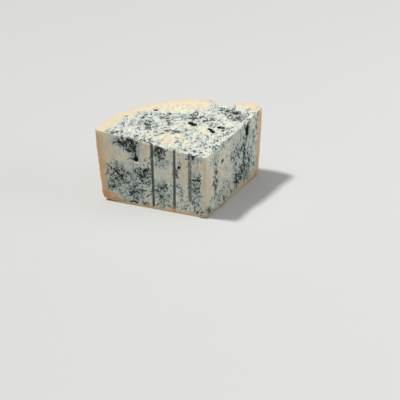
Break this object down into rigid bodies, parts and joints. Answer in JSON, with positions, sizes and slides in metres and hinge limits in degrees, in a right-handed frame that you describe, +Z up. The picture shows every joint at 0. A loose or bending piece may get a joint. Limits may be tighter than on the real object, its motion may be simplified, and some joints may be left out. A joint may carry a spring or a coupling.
{
  "type": "blue cheese wedge",
  "caption": "Thick wedge cut from the lower half of a blue-veined cheese wheel, lying on its flat rind, with needle channels open along one cut face.",
  "frame": {"origin": "the middle of the bounding box's bottom, on the flat rind that the wedge rests on", "axes": "+Z up; the tip where the two cut faces meet points along -Y and the rind curves round the back, +Y; +X from the left rind corner to the right one, the longest way across"},
  "size_m": [0.226, 0.1482, 0.1024],
  "materials": {
    "cheese_wedge": "moist, crumbly cream paste with blue-green veins, and a rough tan rind"
  },
  "bodies": {
    "root": {"cheese_wedge": "cheese_wedge"}
  },
  "joints": []
}
